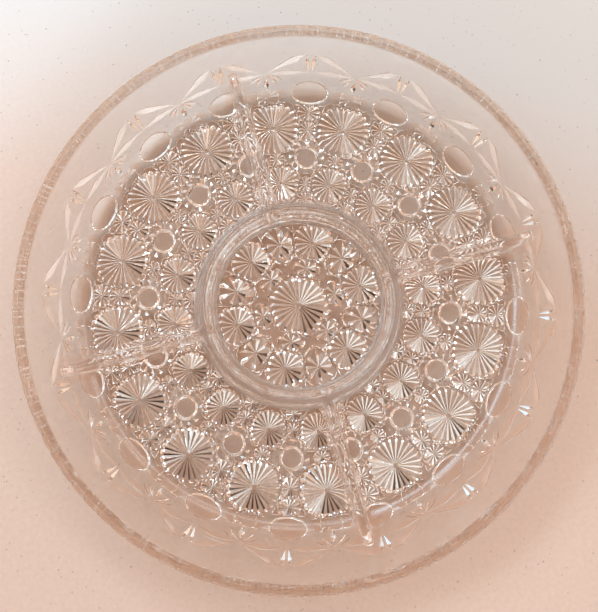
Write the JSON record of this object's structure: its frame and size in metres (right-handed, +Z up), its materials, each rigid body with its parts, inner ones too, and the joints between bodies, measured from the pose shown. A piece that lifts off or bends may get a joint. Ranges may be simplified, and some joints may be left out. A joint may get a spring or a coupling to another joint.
{
  "type": "divided relish dish",
  "caption": "Round divided relish dish in clear pressed glass: centre well, straight dividers, flared wall, and a daisy-and-button pattern on the underside.",
  "frame": {"origin": "centre of the dish on the table surface that it stands on", "axes": "+Z up through the centre of the well; +X and +Y along two of the straight dividers"},
  "size_m": [0.28, 0.28, 0.038],
  "materials": {
    "clear_glass": "clear colourless pressed glass, fire-polished and glossy"
  },
  "bodies": {
    "root": {"rim_band": "clear_glass", "side_wall": "clear_glass", "compartment_floor": "clear_glass", "well_floor": "clear_glass", "centre_ring": "clear_glass", "foot_ring": "clear_glass", "divider_east": "clear_glass", "divider_north": "clear_glass", "divider_west": "clear_glass", "divider_south": "clear_glass", "large_daisies": "clear_glass", "small_daisies": "clear_glass", "small_buttons": "clear_glass", "large_buttons": "clear_glass", "centre_daisy": "clear_glass", "well_daisies": "clear_glass", "well_inner_stars": "clear_glass", "well_outer_stars": "clear_glass", "mid_stars": "clear_glass", "inner_stars": "clear_glass", "outer_stars": "clear_glass", "ring_stars": "clear_glass", "wall_feathers": "clear_glass", "wall_bars": "clear_glass", "wall_fans": "clear_glass", "wall_tips": "clear_glass", "wall_spikes": "clear_glass"}
  },
  "joints": []
}
